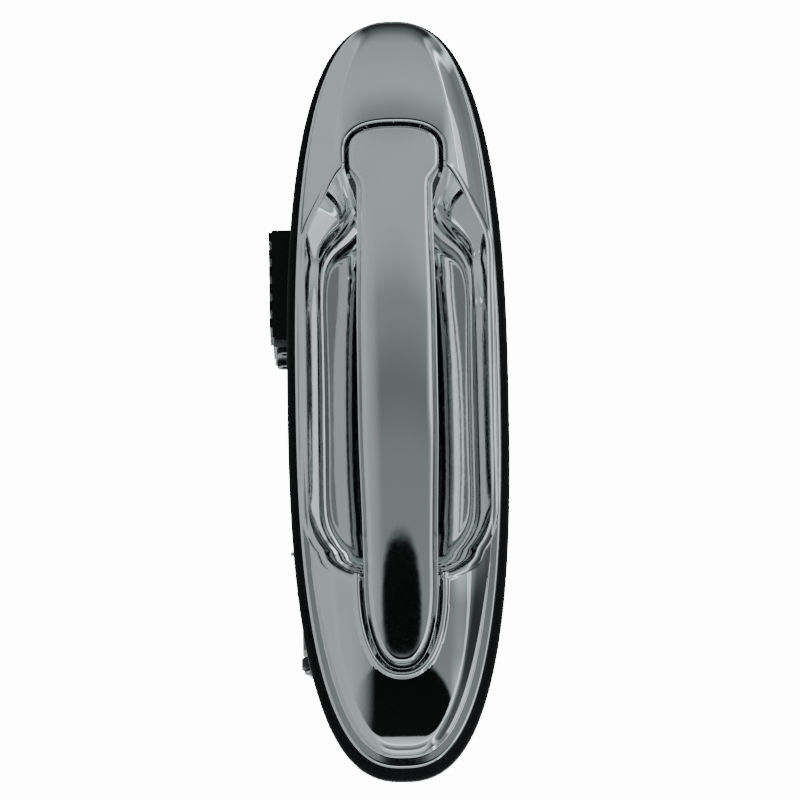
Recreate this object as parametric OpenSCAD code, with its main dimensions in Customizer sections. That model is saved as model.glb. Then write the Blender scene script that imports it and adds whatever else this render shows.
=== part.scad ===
// Pull-type car door handle with a chrome bezel.
// X runs along the handle towards the pull end, Y up, Z outwards from the door.
// The last turn puts Z outwards on the row's -Y.

/* [Bezel] */
// Length of the chrome bezel
bezel_len = 239; // [200:0.5:280]
// Width of the chrome bezel
bezel_wid = 63; // [50:0.5:80]
// Squareness of the oval outline
oval_power = 2.6; // [2:0.1:4]
// Height of the ridge by the hinge end
ridge_high = 18.5; // [12:0.5:24]
// Height of the ridge by the pull end
ridge_low = 17.5; // [12:0.5:24]
// Wall of the bezel
bezel_wall = 2.4; // [1.5:0.1:4]

/* [Pocket] */
// Half width of the finger pocket
pocket_half = 28; // [20:0.2:32]
// Wall of the pocket
pocket_wall = 1.6; // [1:0.1:3]
// Depth of the pocket behind the door skin
pocket_deep = 8.5; // [4:0.5:14]

/* [Gasket] */
// How far the gasket stands out round the bezel
gasket_reach = 2.6; // [1:0.1:5]
// Thickness of the gasket
gasket_thick = 3; // [1:0.5:6]

/* [Grip] */
// Half width of the grip's head
head_half = 14; // [10:0.5:18]
// Half width of the grip in the middle
grip_half = 12.3; // [8:0.1:16]
// Thickness of the grip
grip_thick = 8.5; // [6:0.5:12]
// Height of the grip's crown above its ends
crown_rise = 8.2; // [4:0.2:14]
// Gap between the grip and the bezel
grip_gap = 1.1; // [0.5:0.1:2]

/* [Hinge] */
// Radius of the hinge pin
hinge_r = 2; // [1.5:0.1:3]

/* [Crank] */
// Radius of the crank's pin
crank_pin_r = 2.5; // [2:0.1:4]
// Reach of the crank's input arm
arm_reach = 20; // [18:0.5:24]
// Reach of the crank's output lever
lever_reach = 25; // [18:0.5:32]
// Bore of the rod clip
rod_r = 2.05; // [1.5:0.05:3]

/* [Mounting] */
// Distance between the two studs
stud_pitch = 214; // [200:1:220]
// Radius of the studs
stud_r = 3; // [2:0.5:4]

/* [Hidden] */
$fn = 48;
La = bezel_len / 2;
Lb = bezel_wid / 2;
head_x = -74;
head_nose = 8;
tip_x = 64;
tip_len = 27;
tip_half = grip_half - 0.9;
grip_from = head_x - head_nose;
grip_to = tip_x + tip_len;
hinge_x = -97;
hinge_z = 8;
crank_y = -26;
crank_z = -19;
arm_rest = -28.35;
arm_x = 70;
lever_x = 22;
plate_z = 1.6;
plate_t = 2.5;
spine_z = -16;
collar_r = stud_r + 0.4;
screw_spots = [[-106, 11], [-106, -11], [99, 11], [99, -11]];

// ---- small functions ----
function spow(v, p) = sign(v) * pow(abs(v), p);
function mix(a, b, u) = a + (b - a) * u;
function clamp(v, a, b) = min(max(v, a), b);
function ease(u) = let(c = clamp(u, 0, 1)) c * c * (3 - 2 * c);
function soft_min(a, b, k) = let(h = clamp(0.5 + (b - a) / k / 2, 0, 1)) mix(b, a, h) - k * h * (1 - h);
function round_off(e, r) = e >= r ? 0 : r - sqrt(max(r * r - pow(r - max(e, 0), 2), 0));

// ---- closed outlines: first point on the pull end's tip, then round by +Y ----
function whole(half) = concat(half, [for (i = [len(half) - 2:-1:1]) [half[i][0], -half[i][1]]]);
function normals(p) = let(n = len(p)) [for (i = [0:n - 1])
    let(d = p[(i + 1) % n] - p[(i + n - 1) % n], l = norm(d)) [d[1] / l, -d[0] / l]];
function grown(p, d) = let(m = normals(p)) [for (i = [0:len(p) - 1]) p[i] + m[i] * d];
function oval(a, b, step) = whole([for (t = [0:step:180])
    [a * spow(cos(t), 2 / oval_power), b * pow(max(sin(t), 0), 2 / oval_power)]]);

// ---- the bezel's outer surface ----
function rho(x, y) = pow(pow(abs(x) / La, oval_power) + pow(abs(y) / Lb, oval_power), 1 / oval_power);
function slant(x, y) = let(p = oval_power, r = max(rho(x, y), 0.01))
    pow(r, 1 - p) * norm([pow(abs(x), p - 1) / pow(La, p), pow(abs(y), p - 1) / pow(Lb, p)]);
function inset(x, y) = (1 - rho(x, y)) / max(slant(x, y), 0.004);
function along(x) = clamp((x + La) / (2 * La), 0, 1);
function edge_z(x) = mix(8.8, 5.2, along(x));
function flange(x) = mix(0.8, 3.3, along(x));
function flank_slope(x) = 1.05 + 0.95 * ease((x - 40) / 60);
function crest_a(x) = edge_z(x) + (ridge_high - edge_z(x)) * sqrt(max(1 - pow(max(-70 - x, 0) / 49, 2), 0));
function crest_b(x) = edge_z(x)
    + (ridge_low - edge_z(x)) * sqrt(max(1 - pow(max(x - 55, 0) / 61.2, 2.1), 0));
function crest(x) = x < 0 ? crest_a(x) : crest_b(x);
function bezel_z(x, y) = let(d = inset(x, y), e = max(d - flange(x), 0))
    soft_min(crest(x) - 0.008 * y * y, edge_z(x) + 0.1 * min(d, 4) + flank_slope(x) * e, 1.8)
    - round_off(d, 0.9);

// ---- the pocket ----
function arc(c, r, a, b, n) = [for (i = [0:n]) let(t = mix(a, b, i / n)) c + r * [cos(t), sin(t)]];
function run(a, b, n) = [for (i = [1:n - 1]) a + (b - a) * i / n];
pull_arc = arc([47.6, 10.8], 14, 0, 56, 7);
side_arc = arc([37, pocket_half - 26], 26, 56, 90, 6);
back_arc = arc([-43.8, pocket_half - 20], 20, 90, 120, 5);
hinge_arc = arc([-64.5, 13.6], 4.5, 120, 180, 5);
pocket_half_line = concat([[62.4, 0], [61.9, 5.4]], pull_arc, run(pull_arc[7], side_arc[0], 2), side_arc,
    run(side_arc[6], back_arc[0], 9), back_arc, run(back_arc[5], hinge_arc[0], 3), hinge_arc,
    [[-69.6, 6.5], [-70.4, 0]]);
pocket = whole(pocket_half_line);
pocket_lift = 1.2;
function pocket_spine(p) = [clamp(p[0] * 0.8, -40, 36), 0];
function fall_len(m) = m[0] < 0 ? mix(7, 20, -m[0]) : mix(7, 14, m[0]);
function fall_pow(m) = m[0] < 0 ? mix(4, 2, -m[0]) : mix(4, 2.8, m[0]);
function fall(u, p) = 1 - pow(1 - clamp(u, 0, 1), p);
function pocket_ring(grow, drop, u) = let(m = normals(pocket)) [for (i = [0:len(pocket) - 1])
    let(p = pocket[i] + m[i] * grow, l = fall_len(m[i]), q = pocket[i],
        s = pocket_spine(p), far = norm(p - s), v = u > 1 ? 0.8 : u * l / far,
        c = p + (s - p) * v, top = bezel_z(q[0], q[1]) + pocket_lift)
    [c[0], c[1], mix(top, -pocket_deep, fall(v * far / l, fall_pow(m[i]))) - drop]];

// ---- the grip ----
function neck(x) = mix(head_half, 11.7, ease((x + 69.5) / 7));
function waist(x) = mix(mix(11.7, grip_half, ease((x + 58) / 40)), tip_half, ease((x - 12) / 48));
function side(x) = x < -58 ? neck(x) : waist(x);
grip_half_line = concat(
    [for (t = [0:7.5:90]) [tip_x + tip_len * pow(cos(t), 2 / 2.3), tip_half * pow(sin(t), 2 / 2.3)]],
    [for (x = [tip_x - 5:-5:-55]) [x, side(x)]],
    [for (x = [-58:-1.5:-73]) [x, side(x)]],
    [for (t = [90:9:180])
        [head_x + head_nose * spow(cos(t), 2 / 2.8), head_half * pow(max(sin(t), 0), 2 / 2.8)]]);
grip_line = whole(grip_half_line);
function grip_u(x) = clamp((x - grip_from) / (grip_to - grip_from), 0, 1);
function grip_crest(x) = mix(18.3, 17.6, grip_u(x)) + crown_rise * pow(sin(180 * grip_u(x)), 1.15);
function grip_crown(x) = mix(0.008, 0.0135, ease((x + 74) / 30));
function grip_top(x, y) = grip_crest(x) - grip_crown(x) * y * y;
function grip_deep(x) = mix(mix(8, grip_thick, ease((x + 75) / 30)), 6.4, ease((x - 45) / 35));
function part_deep(x) = mix(4.4, 3.4, ease((x - 50) / 30));
function grip_spine(p) = [clamp(p[0], -72, 76), 0];
function cover_in(x) = 1.2 * ease((x + 71) / 10);
// a ring inside an outline: d mm in, then v of the way to the spine, on level k
// k 0 is the cover's top, 1 the base's underside, 2 the parting, 3 a plain height h
function grip_ring(line, in, d, v, k, h) = let(m = normals(line)) [for (i = [0:len(line) - 1])
    let(o = line[i], a = o - m[i] * (in * cover_in(o[0]) + d), s = grip_spine(a), c = a + (s - a) * v)
    [c[0], c[1], k == 0 ? grip_top(c[0], c[1]) - h : k == 1 ? grip_crest(c[0]) - grip_deep(c[0]) + h
        : k == 2 ? grip_crest(c[0]) - part_deep(c[0]) + h : h]];

// ---- a closed skin through rings of one count, from the lowest ring to the highest ----
module skin(rings) {
    n = len(rings[0]);
    k = len(rings);
    h = n / 2;
    last = (k - 1) * n;
    polyhedron(points = [for (r = rings) each r], faces = concat(
        [for (i = [0:h - 1]) each i == 0 ? [[0, 1, n - 1]] : i == h - 1 ? [[i, i + 1, n - i]]
            : [[i, i + 1, n - i - 1], [i, n - i - 1, n - i]]],
        [for (r = [0:k - 2]) for (i = [0:n - 1]) let(j = (i + 1) % n, a = r * n, b = a + n)
            each [[a + i, b + i, b + j], [a + i, b + j, a + j]]],
        [for (i = [0:h - 1]) each i == 0 ? [[last, last + n - 1, last + 1]]
            : i == h - 1 ? [[last + i, last + n - i, last + i + 1]]
            : [[last + i, last + n - i - 1, last + i + 1], [last + i, last + n - i, last + n - i - 1]]]
    ), convexity = 6);
}

// a round bar along X, Y or Z
module bar_x(x, y, z, r, l) { translate([x, y, z]) rotate([0, 90, 0]) cylinder(r = r, h = l); }
module bar_y(x, y, z, r, l) { translate([x, y, z]) rotate([-90, 0, 0]) cylinder(r = r, h = l); }
module bar_z(x, y, z, r, l) { translate([x, y, z]) cylinder(r = r, h = l); }
module box(a, b) { translate(a) cube(b - a); }

// ---- bezel ----
function bezel_ring(d, v, drop, step) = let(p = oval(La, Lb, step), m = normals(p))
    [for (i = [0:len(p) - 1])
    let(a = p[i] - m[i] * d, s = [clamp(a[0], -88, 88), 0], c = a + (s - a) * v)
    [c[0], c[1], bezel_z(c[0], c[1]) - drop]];
module bezel_outer(low) {
    base = oval(La, Lb, 3.75);
    skin(concat([[for (p = base) [p[0], p[1], low]]],
        [for (d = [0, 0.15, 0.5, 0.9, 2.2, 3.3, 4.2]) bezel_ring(d, 0, 0, 3.75)],
        [for (v = [0.1:0.09:0.94]) bezel_ring(4.2, v, 0, 3.75)]));
}
module bezel_inner() {
    base = grown(oval(La, Lb, 7.5), -bezel_wall);
    skin(concat([[for (p = base) [p[0], p[1], -1]]],
        [for (d = [bezel_wall, 4.2]) bezel_ring(d, 0, 2.9, 7.5)],
        [for (v = [0.15:0.17:0.9]) bezel_ring(4.2, v, 2.9, 7.5)]));
}
module pocket_outer() {
    top = grown(pocket, pocket_wall);
    skin(concat([for (u = [2, 1, 0.6, 0.3, 0.12, 0]) pocket_ring(pocket_wall, 2.3, u)],
        [[for (p = top) [p[0], p[1], bezel_z(p[0], p[1]) - 0.3]]],
        [for (v = [0.25, 0.5, 0.75]) [for (p = top) let(c = p + (pocket_spine(p) - p) * v)
            [c[0], c[1], bezel_z(c[0], c[1]) - 0.3]]]));
}
module pocket_inner() {
    skin(concat([for (u = [2, 1, 0.78, 0.6, 0.44, 0.3, 0.18, 0.08, 0]) pocket_ring(0, 0, u)],
        [[for (p = pocket) [p[0], p[1], 60]]]));
}
module pocket_bead() {
    line = grown(pocket, 1.1);
    m = normals(pocket);
    n = len(line);
    cut = [for (t = [0:60:300]) [cos(t), 0.85 * sin(t)]];
    points = [for (i = [0:n - 1]) for (c = cut) let(z = bezel_z(line[i][0], line[i][1]))
        [line[i][0] + m[i][0] * c[0], line[i][1] + m[i][1] * c[0], z + c[1] - 0.1]];
    polyhedron(points = points, faces = [for (i = [0:n - 1]) for (j = [0:5])
        let(a = i * 6, b = ((i + 1) % n) * 6, k = (j + 1) % 6)
        each [[a + j, b + k, b + j], [a + j, a + k, b + k]]]);
}
module tip_lip() {
    spots = [for (i = [0:len(grip_line) - 1]) if (grip_line[i][0] > 57.5) i];
    n = len(spots);
    order = [for (i = [n / 2 + 0.5:n - 1]) spots[i], for (i = [0:n / 2]) spots[i]];
    line = grown(grip_line, grip_gap + 0.9);
    m = normals(grip_line);
    cut = [for (t = [0:45:315]) [0.85 * cos(t), 1 * sin(t)]];
    points = [for (i = order) for (c = cut) let(z = bezel_z(line[i][0], line[i][1]))
        [line[i][0] + m[i][0] * c[0], line[i][1] + m[i][1] * c[0], z + c[1] - 0.1]];
    polyhedron(points = points, faces = concat([[7, 6, 5, 4, 3, 2, 1, 0]],
        [for (i = [0:n - 2]) for (j = [0:7])
            let(a = i * 8, b = a + 8, k = (j + 1) % 8) each [[a + j, a + k, b + k], [a + j, b + k, b + j]]],
        [[for (j = [0:7]) (n - 1) * 8 + j]]));
}
// room for the grip: its outline with the gap, from under its belly up
module grip_room(gap, low, flare) {
    line = grown(grip_line, gap);
    skin([grip_ring(line, 0, 2, 0.5, 1, -low), grip_ring(line, 0, 2, 0, 1, -low),
        grip_ring(line, 0, 0, 0, 1, 2 - low), grip_ring(line, 0, 0, 0, 0, 1),
        grip_ring(line, 0, -flare, 0, 0, -0.6), grip_ring(line, 0, -flare, 0, 3, 60)]);
}
module bezel_housing() {
    color("silver") resize([0, 0, 0]) difference() {
        union() {
            difference() {
                union() {
                    bezel_outer(gasket_thick);
                    pocket_bead();
                    tip_lip();
                }
                difference() {
                    bezel_inner();
                    pocket_outer();
                    grip_room(grip_gap + 2.2, 3.6, 0.1);
                    for (p = screw_spots) bar_z(p[0], p[1], 4.1, 3.3, 20);
                }
            }
            pocket_outer();
        }
        pocket_inner();
        grip_room(grip_gap, 1.3, 1.1);
        box([-81.8, -8, -20], [-72, 8, 30]);
        box([-90, -8, -20], [-81.5, 8, 13.4]);
        box([64.6, -5.2, 0], [76.6, 5.2, 30]);
        for (p = screw_spots) bar_z(p[0], p[1], 3, 1.4, 8);
    }
}

// ---- gasket ----
gasket_out = [for (p = grown(oval(La, Lb, 3.75), gasket_reach)) [p[0] + 0.7, p[1]]];
gasket_in = let(p = oval(La, Lb, 3.75), m = normals(p))
    [for (i = [0:len(p) - 1]) p[i] - m[i] * (0.45 + 4.5 * pow(abs(p[i][0]) / La, 4))];
module base_gasket() {
    color("dimgray") difference() {
        linear_extrude(gasket_thick) polygon(gasket_out);
        translate([0, 0, -1]) linear_extrude(gasket_thick + 2) polygon(gasket_in);
    }
}

// ---- grip ----
module cover_outer() {
    skin(concat([grip_ring(grip_line, 1, 0.6, 0.6, 2, 0), grip_ring(grip_line, 1, 0.1, 0, 2, 0)],
        [for (t = [0, 25, 50, 70, 90])
            grip_ring(grip_line, 1, 1.4 - 1.4 * cos(t), 0, 0, 1.4 - 1.4 * sin(t))],
        [for (v = [0.2, 0.45, 0.7]) grip_ring(grip_line, 1, 1.4, v, 0, 0)]));
}
module grip_cover() {
    color("gainsboro") resize([0, 0, 0]) difference() {
        cover_outer();
        skin([grip_ring(grip_line, 1, 3, 0.5, 2, -1), grip_ring(grip_line, 1, 2.2, 0, 2, -1),
            grip_ring(grip_line, 1, 2.4, 0, 0, 2.2), grip_ring(grip_line, 1, 2.4, 0.6, 0, 2)]);
    }
}
module grip_base() {
    color("silver") resize([0, 0, 0]) difference() {
        union() {
            skin(concat([grip_ring(grip_line, 0, 3.2, 0.7, 1, 0), grip_ring(grip_line, 0, 3.2, 0.3, 1, 0)],
                [for (t = [0, 30, 60, 90])
                    grip_ring(grip_line, 0, 3.1 - 2.5 * sin(t), 0, 1, 2.5 - 2.5 * cos(t))],
                [grip_ring(grip_line, 0, 0, 0, 2, -0.6), grip_ring(grip_line, 0, 0.4, 0, 2, -0.2),
                    grip_ring(grip_line, 0, 1.5, 0.5, 2, -0.2)]));
            skin([grip_ring(grip_line, 1, 3.4, 0.5, 2, -0.5), grip_ring(grip_line, 1, 2.6, 0, 2, -0.5),
                grip_ring(grip_line, 1, 2.6, 0, 0, 2.6), grip_ring(grip_line, 1, 2.6, 0.6, 0, 2.4)]);
        }
        box([-83, -7.5, 5], [-72.4, 7.5, arm_top + 0.05]);
        box([62.6, -4.4, 5], [79.4, 4.4, leg_top + 0.05]);
        for (y = [-4, 4]) bar_z(-76.5, y, 0, 1.4, 15.4);
        for (x = leg_screws) bar_z(x, 0, 0, 1.4, 17.6);
    }
}
arm_top = 10.9;
leg_top = 14.6;
leg_screws = [65, 77];
module grip_arm() {
    color("slategray") difference() {
        union() {
            box([-81.2, -7, 6.4], [-73, 7, arm_top]);
            box([-97, -7, 5.2], [-80, 7, 9.6]);
            bar_y(hinge_x, -9, hinge_z, 4, 18);
        }
        bar_y(hinge_x, -10, hinge_z, 2.8, 20);
        for (y = [-4, 4]) bar_z(-76.5, y, 0, 1.75, 14);
    }
}
leg_low = -34;
pad_top = -31.9;
module grip_leg() {
    color("slategray") difference() {
        union() {
            box([63, -4, leg_top - 1.6], [79, 4, leg_top]);
            box([67, -2.2, leg_low], [73, 3.6, leg_top]);
            box([64.5, -9.6, leg_low], [73.6, 3.6, pad_top]);
        }
        for (x = leg_screws) {
            bar_z(x, 0, 0, 1.5, 20);
            translate([x, 0, leg_top - 1.7]) cylinder(r1 = 2.5, r2 = 1.45, h = 1.2);
        }
    }
}
module pan_screw(x, y, z, r, l, head) {
    bar_z(x, y, z, r, l);
    difference() {
        bar_z(x, y, z - 1.5, head, 1.5);
        translate([x, y, z - 2]) cylinder(r = 1.1, h = 1.4, $fn = 6);
    }
}
module grip_screws() {
    color("gray") {
        for (y = [-4, 4]) pan_screw(-76.5, y, 6.4, 1.35, 7.4, 2.6);
        for (x = leg_screws) difference() {
            union() {
                bar_z(x, 0, leg_top - 1, 1.35, 2.9);
                translate([x, 0, leg_top - 1.6]) cylinder(r1 = 2.35, r2 = 1.35, h = 1.1);
            }
            translate([x, 0, leg_top - 2]) cylinder(r = 0.9, h = 1.2, $fn = 6);
        }
    }
}

// ---- hinge ----
module hinge_pin() {
    color("lightgray") {
        bar_y(hinge_x, -13.6, hinge_z, hinge_r, 28.6);
        bar_y(hinge_x, -14.2, hinge_z, 3.2, 1);
    }
}
module hinge_bushes() {
    color("ivory") for (s = [-1, 1]) difference() {
        union() {
            bar_y(hinge_x, s > 0 ? 3 : -9, hinge_z, 2.78, 6);
            bar_y(hinge_x, s > 0 ? 9 : -9.7, hinge_z, 3.8, 0.7);
        }
        bar_y(hinge_x, -10, hinge_z, hinge_r + 0.05, 20);
    }
}
module ring_clip(r) {
    difference() {
        cylinder(r = r + 1.4, h = 0.7);
        translate([0, 0, -1]) cylinder(r = r - 0.25, h = 3);
        translate([0, -0.9, -1]) cube([r + 3, 1.8, 3]);
    }
}
module hinge_clips() {
    color("dimgray") translate([hinge_x, 13.4, hinge_z]) rotate([-90, 0, 0]) ring_clip(hinge_r + 0.25);
}

// ---- carrier ----
module carrier_frame() {
    ends = [[-112.5, -84.5], [79, 112.5]];
    color("dimgray") difference() {
        union() {
            for (e = ends) difference() {
                box([e[0], -14.5, plate_z], [e[1], 14.5, plate_z + plate_t]);
                for (s = [-1, 1]) for (x = [-112.5, 112.5])
                    translate([x, s * 14.5, 0]) rotate([0, 0, 45]) cube([9, 9, 20], center = true);
            }
            for (s = [-1, 1]) {
                box([-100.6, s > 0 ? 10 : -13, plate_z], [-93.4, s > 0 ? 13 : -10, hinge_z]);
                bar_y(hinge_x, s > 0 ? 10 : -13, hinge_z, 3.6, 3);
            }
            box([-87, -14.5, spine_z], [-84.5, 14.5, plate_z + plate_t]);
            box([79, -14.5, spine_z], [81.5, 14.5, plate_z + plate_t]);
            box([-87, -14.5, spine_z], [56, 18, spine_z + 2.5]);
            box([50, 8.5, spine_z], [81.5, 18, spine_z + 2.5]);
            box([79, -14.5, spine_z], [81.5, 18, spine_z + 2.5]);
            for (s = [10.2, 15.5]) box([-86, s, spine_z - 3.5], [80, s + 2, spine_z + 1]);
            box([-86, -14.5, spine_z - 3.5], [55, -12.5, spine_z + 1]);
            for (x = [-62.6, 78.4]) {
                box([x, crank_y, spine_z - 6.5], [x + 3, -12.5, spine_z + 2.5]);
                bar_x(x, crank_y, crank_z, 5, 3);
            }
            box([78.4, -14.5, spine_z - 6.5], [81.4, 10, spine_z + 2.5]);
            box([53, -14.5, -23.7], [60, -11.5, spine_z + 2.5]);
        }
        bar_y(hinge_x, -20, hinge_z, hinge_r + 0.02, 40);
        bar_y(hinge_x, -9.8, hinge_z, 4.4, 19.6);
        bar_x(-70, crank_y, crank_z, crank_pin_r + 0.02, 160);
        for (s = [-1, 1]) bar_z(s * stud_pitch / 2, 0, 0, collar_r + 0.15, 6);
        for (p = screw_spots) bar_z(p[0], p[1], 0, 1.75, 6);
        for (x = [-70:20:30]) box([x, -8, spine_z - 1], [x + 12, 6, spine_z + 4]);
    }
}
module frame_screws() {
    color("gray") for (p = screw_spots) pan_screw(p[0], p[1], plate_z, 1.35, 8.6, 2.8);
}
module mounting_studs() {
    color("lightgray") for (s = [-1, 1]) {
        bar_z(s * stud_pitch / 2, 0, -22, stud_r, 23);
        bar_z(s * stud_pitch / 2, 0, -0.3, collar_r, 5);
        translate([s * stud_pitch / 2, 0, plate_z + plate_t]) cylinder(r = 5, h = 2.2, $fn = 6);
    }
}
module stud_seals() {
    color("black") for (s = [-1, 1]) difference() {
        bar_z(s * stud_pitch / 2, 0, 0.1, 6.2, 1.4);
        bar_z(s * stud_pitch / 2, 0, -1, collar_r + 0.1, 4);
    }
}

// ---- crank ----
module bell_crank() {
    color("darkgray") difference() {
        union() {
            bar_x(-58, crank_y, crank_z, 4.6, 134);
            translate([arm_x, crank_y, crank_z]) rotate([arm_rest, 0, 0]) {
                box([-2.5, 0, -1.6], [2.5, arm_reach, 3]);
                bar_x(-2.5, arm_reach, 0, 3, 5);
            }
            box([lever_x - 2, crank_y - 3.6, crank_z - lever_reach], [lever_x + 2, crank_y + 3.6, crank_z]);
            bar_x(lever_x - 2, crank_y, crank_z - lever_reach, 4.6, 4);
            box([41.5, crank_y - 7, crank_z - 4.7], [44.5, crank_y, crank_z - 1]);
            box([-20.9, -38, -26], [-18.4, crank_y, -13.4]);
            box([-20.9, -38, -26], [-18.4, -31.6, -6]);
        }
        bar_x(-60, crank_y, crank_z, 3.72, 140);
        bar_x(lever_x - 5, crank_y, crank_z - lever_reach, 2.55, 10);
        for (p = weight_spots) bar_x(-22, p[0], p[1], 1.4, 5);
    }
}
module crank_pin() {
    color("lightgray") {
        bar_x(-64, crank_y, crank_z, crank_pin_r, 148);
        bar_x(-64.2, crank_y, crank_z, 4, 1.2);
    }
}
module crank_bushes() {
    color("ivory") for (s = [-1, 1]) difference() {
        union() {
            bar_x(s > 0 ? 68 : -58, crank_y, crank_z, 3.7, 8);
            bar_x(s > 0 ? 76 : -59, crank_y, crank_z, 4.6, 1);
        }
        bar_x(-70, crank_y, crank_z, crank_pin_r + 0.05, 160);
    }
}
module crank_clips() {
    color("dimgray") translate([82, crank_y, crank_z]) rotate([0, 90, 0]) ring_clip(crank_pin_r + 0.25);
}
module counterweight() {
    color("black") difference() {
        union() {
            box([-56, -38.4, -27], [-21, -31.5, -4.5]);
            box([-56, -37.4, -27], [-21, -25.6, -13]);
            for (x = [-56:5.6:-24]) box([x, -39.4, -26], [x + 3, -37.4, -7]);
        }
        bar_x(-60, crank_y, crank_z, 4.65, 50);
        for (p = weight_spots) bar_x(-32, p[0], p[1], 1.3, 12);
        box([-57, -42, -4.9], [-53.5, -30, -3]);
        box([-57, -32, -30], [-20, -30, -22]);
    }
}
weight_spots = [[-35, -23], [-34.8, -9.5]];
module weight_screws() {
    color("gray") for (p = weight_spots) translate([-18.4, p[0], p[1]]) rotate([0, -90, 0]) {
        cylinder(r = 1.2, h = 12);
        difference() {
            translate([0, 0, -1.5]) cylinder(r = 2.4, h = 1.5);
            translate([0, 0, -2]) cylinder(r = 1.1, h = 1.4, $fn = 6);
        }
    }
}
module return_spring() {
    r = 5.6;
    wire = 0.65;
    turns = 5;
    rise = 3;
    coil = [for (t = [0:20:360 * turns]) [r * cos(t), r * sin(t), rise * t / 360]];
    path = concat([[r, -8, 0], [r, -3, 0]], coil, [[r, 3, rise * turns], [r, 14, rise * turns]]);
    n = len(path);
    points = [for (i = [0:n - 1]) let(a = path[max(i - 1, 0)], b = path[min(i + 1, n - 1)],
        d = (b - a) / norm(b - a), u = cross(d, [0, 0, 1]), v = u / norm(u), w = cross(v, d))
        for (t = [0:45:315]) path[i] + wire * (v * cos(t) + w * sin(t))];
    color("silver") translate([43, crank_y, crank_z]) rotate([0, 90, 0]) polyhedron(points = points,
        faces = concat([[7, 6, 5, 4, 3, 2, 1, 0]], [for (i = [0:n - 2]) for (j = [0:7])
            let(a = i * 8, b = a + 8, k = (j + 1) % 8) each [[a + j, a + k, b + k], [a + j, b + k, b + j]]],
        [[for (j = [0:7]) (n - 1) * 8 + j]]));
}
module rod_clip() {
    y = crank_y;
    z = crank_z - lever_reach;
    color("whitesmoke") difference() {
        union() {
            bar_x(lever_x - 3.4, y, z, 2.5, 6);
            bar_x(lever_x - 5, y, z, 4, 2.6);
            bar_x(lever_x + 2.4, y, z, 5, 3.6);
            box([lever_x + 2.4, y - 3, z - 15], [lever_x + 6, y + 3, z]);
            box([lever_x + 2.4, y - 4, z - 16.5], [lever_x + 9.4, y + 4, z - 11]);
        }
        bar_x(lever_x - 8, y, z, rod_r, 20);
        bar_y(lever_x + 7, y - 10, z - 13.7, 2.1, 20);
        box([lever_x + 6.4, y - 10, z - 15], [lever_x + 12, y + 10, z - 12.4]);
    }
}

// ---- rubber ----
module head_buffer() {
    color("black") box([-91.5, -6, plate_z + plate_t], [-86, 6, 4.9]);
}
module tip_buffers() {
    color("black") for (s = [-1, 1]) bar_z(84, s * 3.4, 10.95, 1.5, 0.8);
}
module leg_boot() {
    color("black") difference() {
        box([62.6, -7.2, 6.2], [77.6, 7.2, 8.9]);
        box([64.6, -5.2, 0], [76.6, 5.2, 10]);
    }
}

rotate([90, 0, 0]) {
    bezel_housing();
    base_gasket();
    carrier_frame();
    grip_cover();
    grip_base();
    grip_arm();
    grip_leg();
    grip_screws();
    hinge_pin();
    hinge_bushes();
    hinge_clips();
    frame_screws();
    mounting_studs();
    stud_seals();
    bell_crank();
    crank_pin();
    crank_bushes();
    crank_clips();
    counterweight();
    weight_screws();
    return_spring();
    rod_clip();
    head_buffer();
    tip_buffers();
    leg_boot();
}
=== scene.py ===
"""Looks of the chrome pull handle: dense skins for the polished parts, bevels and materials for the rest."""
import math
import bmesh
import bpy
import numpy as np
from mathutils import Matrix, Vector


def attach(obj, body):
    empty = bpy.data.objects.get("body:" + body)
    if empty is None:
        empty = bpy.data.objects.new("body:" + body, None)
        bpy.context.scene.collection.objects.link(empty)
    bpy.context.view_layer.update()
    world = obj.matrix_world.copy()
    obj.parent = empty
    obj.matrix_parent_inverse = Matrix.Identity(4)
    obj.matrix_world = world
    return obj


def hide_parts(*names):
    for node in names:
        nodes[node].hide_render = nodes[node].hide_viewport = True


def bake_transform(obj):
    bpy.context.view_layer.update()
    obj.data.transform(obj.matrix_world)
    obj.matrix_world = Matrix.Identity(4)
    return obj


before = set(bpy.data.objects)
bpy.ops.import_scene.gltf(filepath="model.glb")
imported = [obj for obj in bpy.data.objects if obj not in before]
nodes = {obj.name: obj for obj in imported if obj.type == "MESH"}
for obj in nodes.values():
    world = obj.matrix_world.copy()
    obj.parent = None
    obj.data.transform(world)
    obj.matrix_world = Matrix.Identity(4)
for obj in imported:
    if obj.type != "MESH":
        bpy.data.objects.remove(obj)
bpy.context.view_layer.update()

# ---- sizes in mm: x along the handle to the pull end, y up, z outwards from the door's skin ----
# the bezel: its oval, and the heights and widths of its dome at the hinge end and at the pull end
HALF_LONG = 119.5
HALF_WIDE = 31.5
POWER = 2.6
EDGE_ROUND = 0.9
HINGE_EDGE = 8.8
PULL_EDGE = 5.2
HINGE_FLANGE = 0.8
PULL_FLANGE = 3.3
HINGE_CREST = 18.5
PULL_CREST = 17.5
HINGE_BEND_X = -70
HINGE_BEND_LONG = 49
PULL_BEND_X = 55
PULL_BEND_LONG = 62.6
CROWN = 0.008

# the finger pocket, with the bead round it
POCKET_HALF = 28.0
DEEP = 8.5
DISH = 0.0035
BEAD_R = 1.12
BEAD_HIGH = 0.8

# the grip: a wide head at the hinge, a neck, a strap and a round tip
HEAD_X = -74.0
NOSE = 8.0
NOSE_POWER = 2.8
TIP_X = 64.0
TIP_LONG = 27.0
TIP_POWER = 2.3
HEAD_HALF = 14.0
NECK_HALF = 11.7
GRIP_HALF = 12.3
TIP_HALF = GRIP_HALF - 0.9
FRONT = HEAD_X - NOSE
BACK = TIP_X + TIP_LONG
BOW = 8.2
COVER_STEP = 1.2
COVER_ROUND = 1.4
BASE_ROUND = 2.5
BASE_TUCK = 3.1

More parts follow.
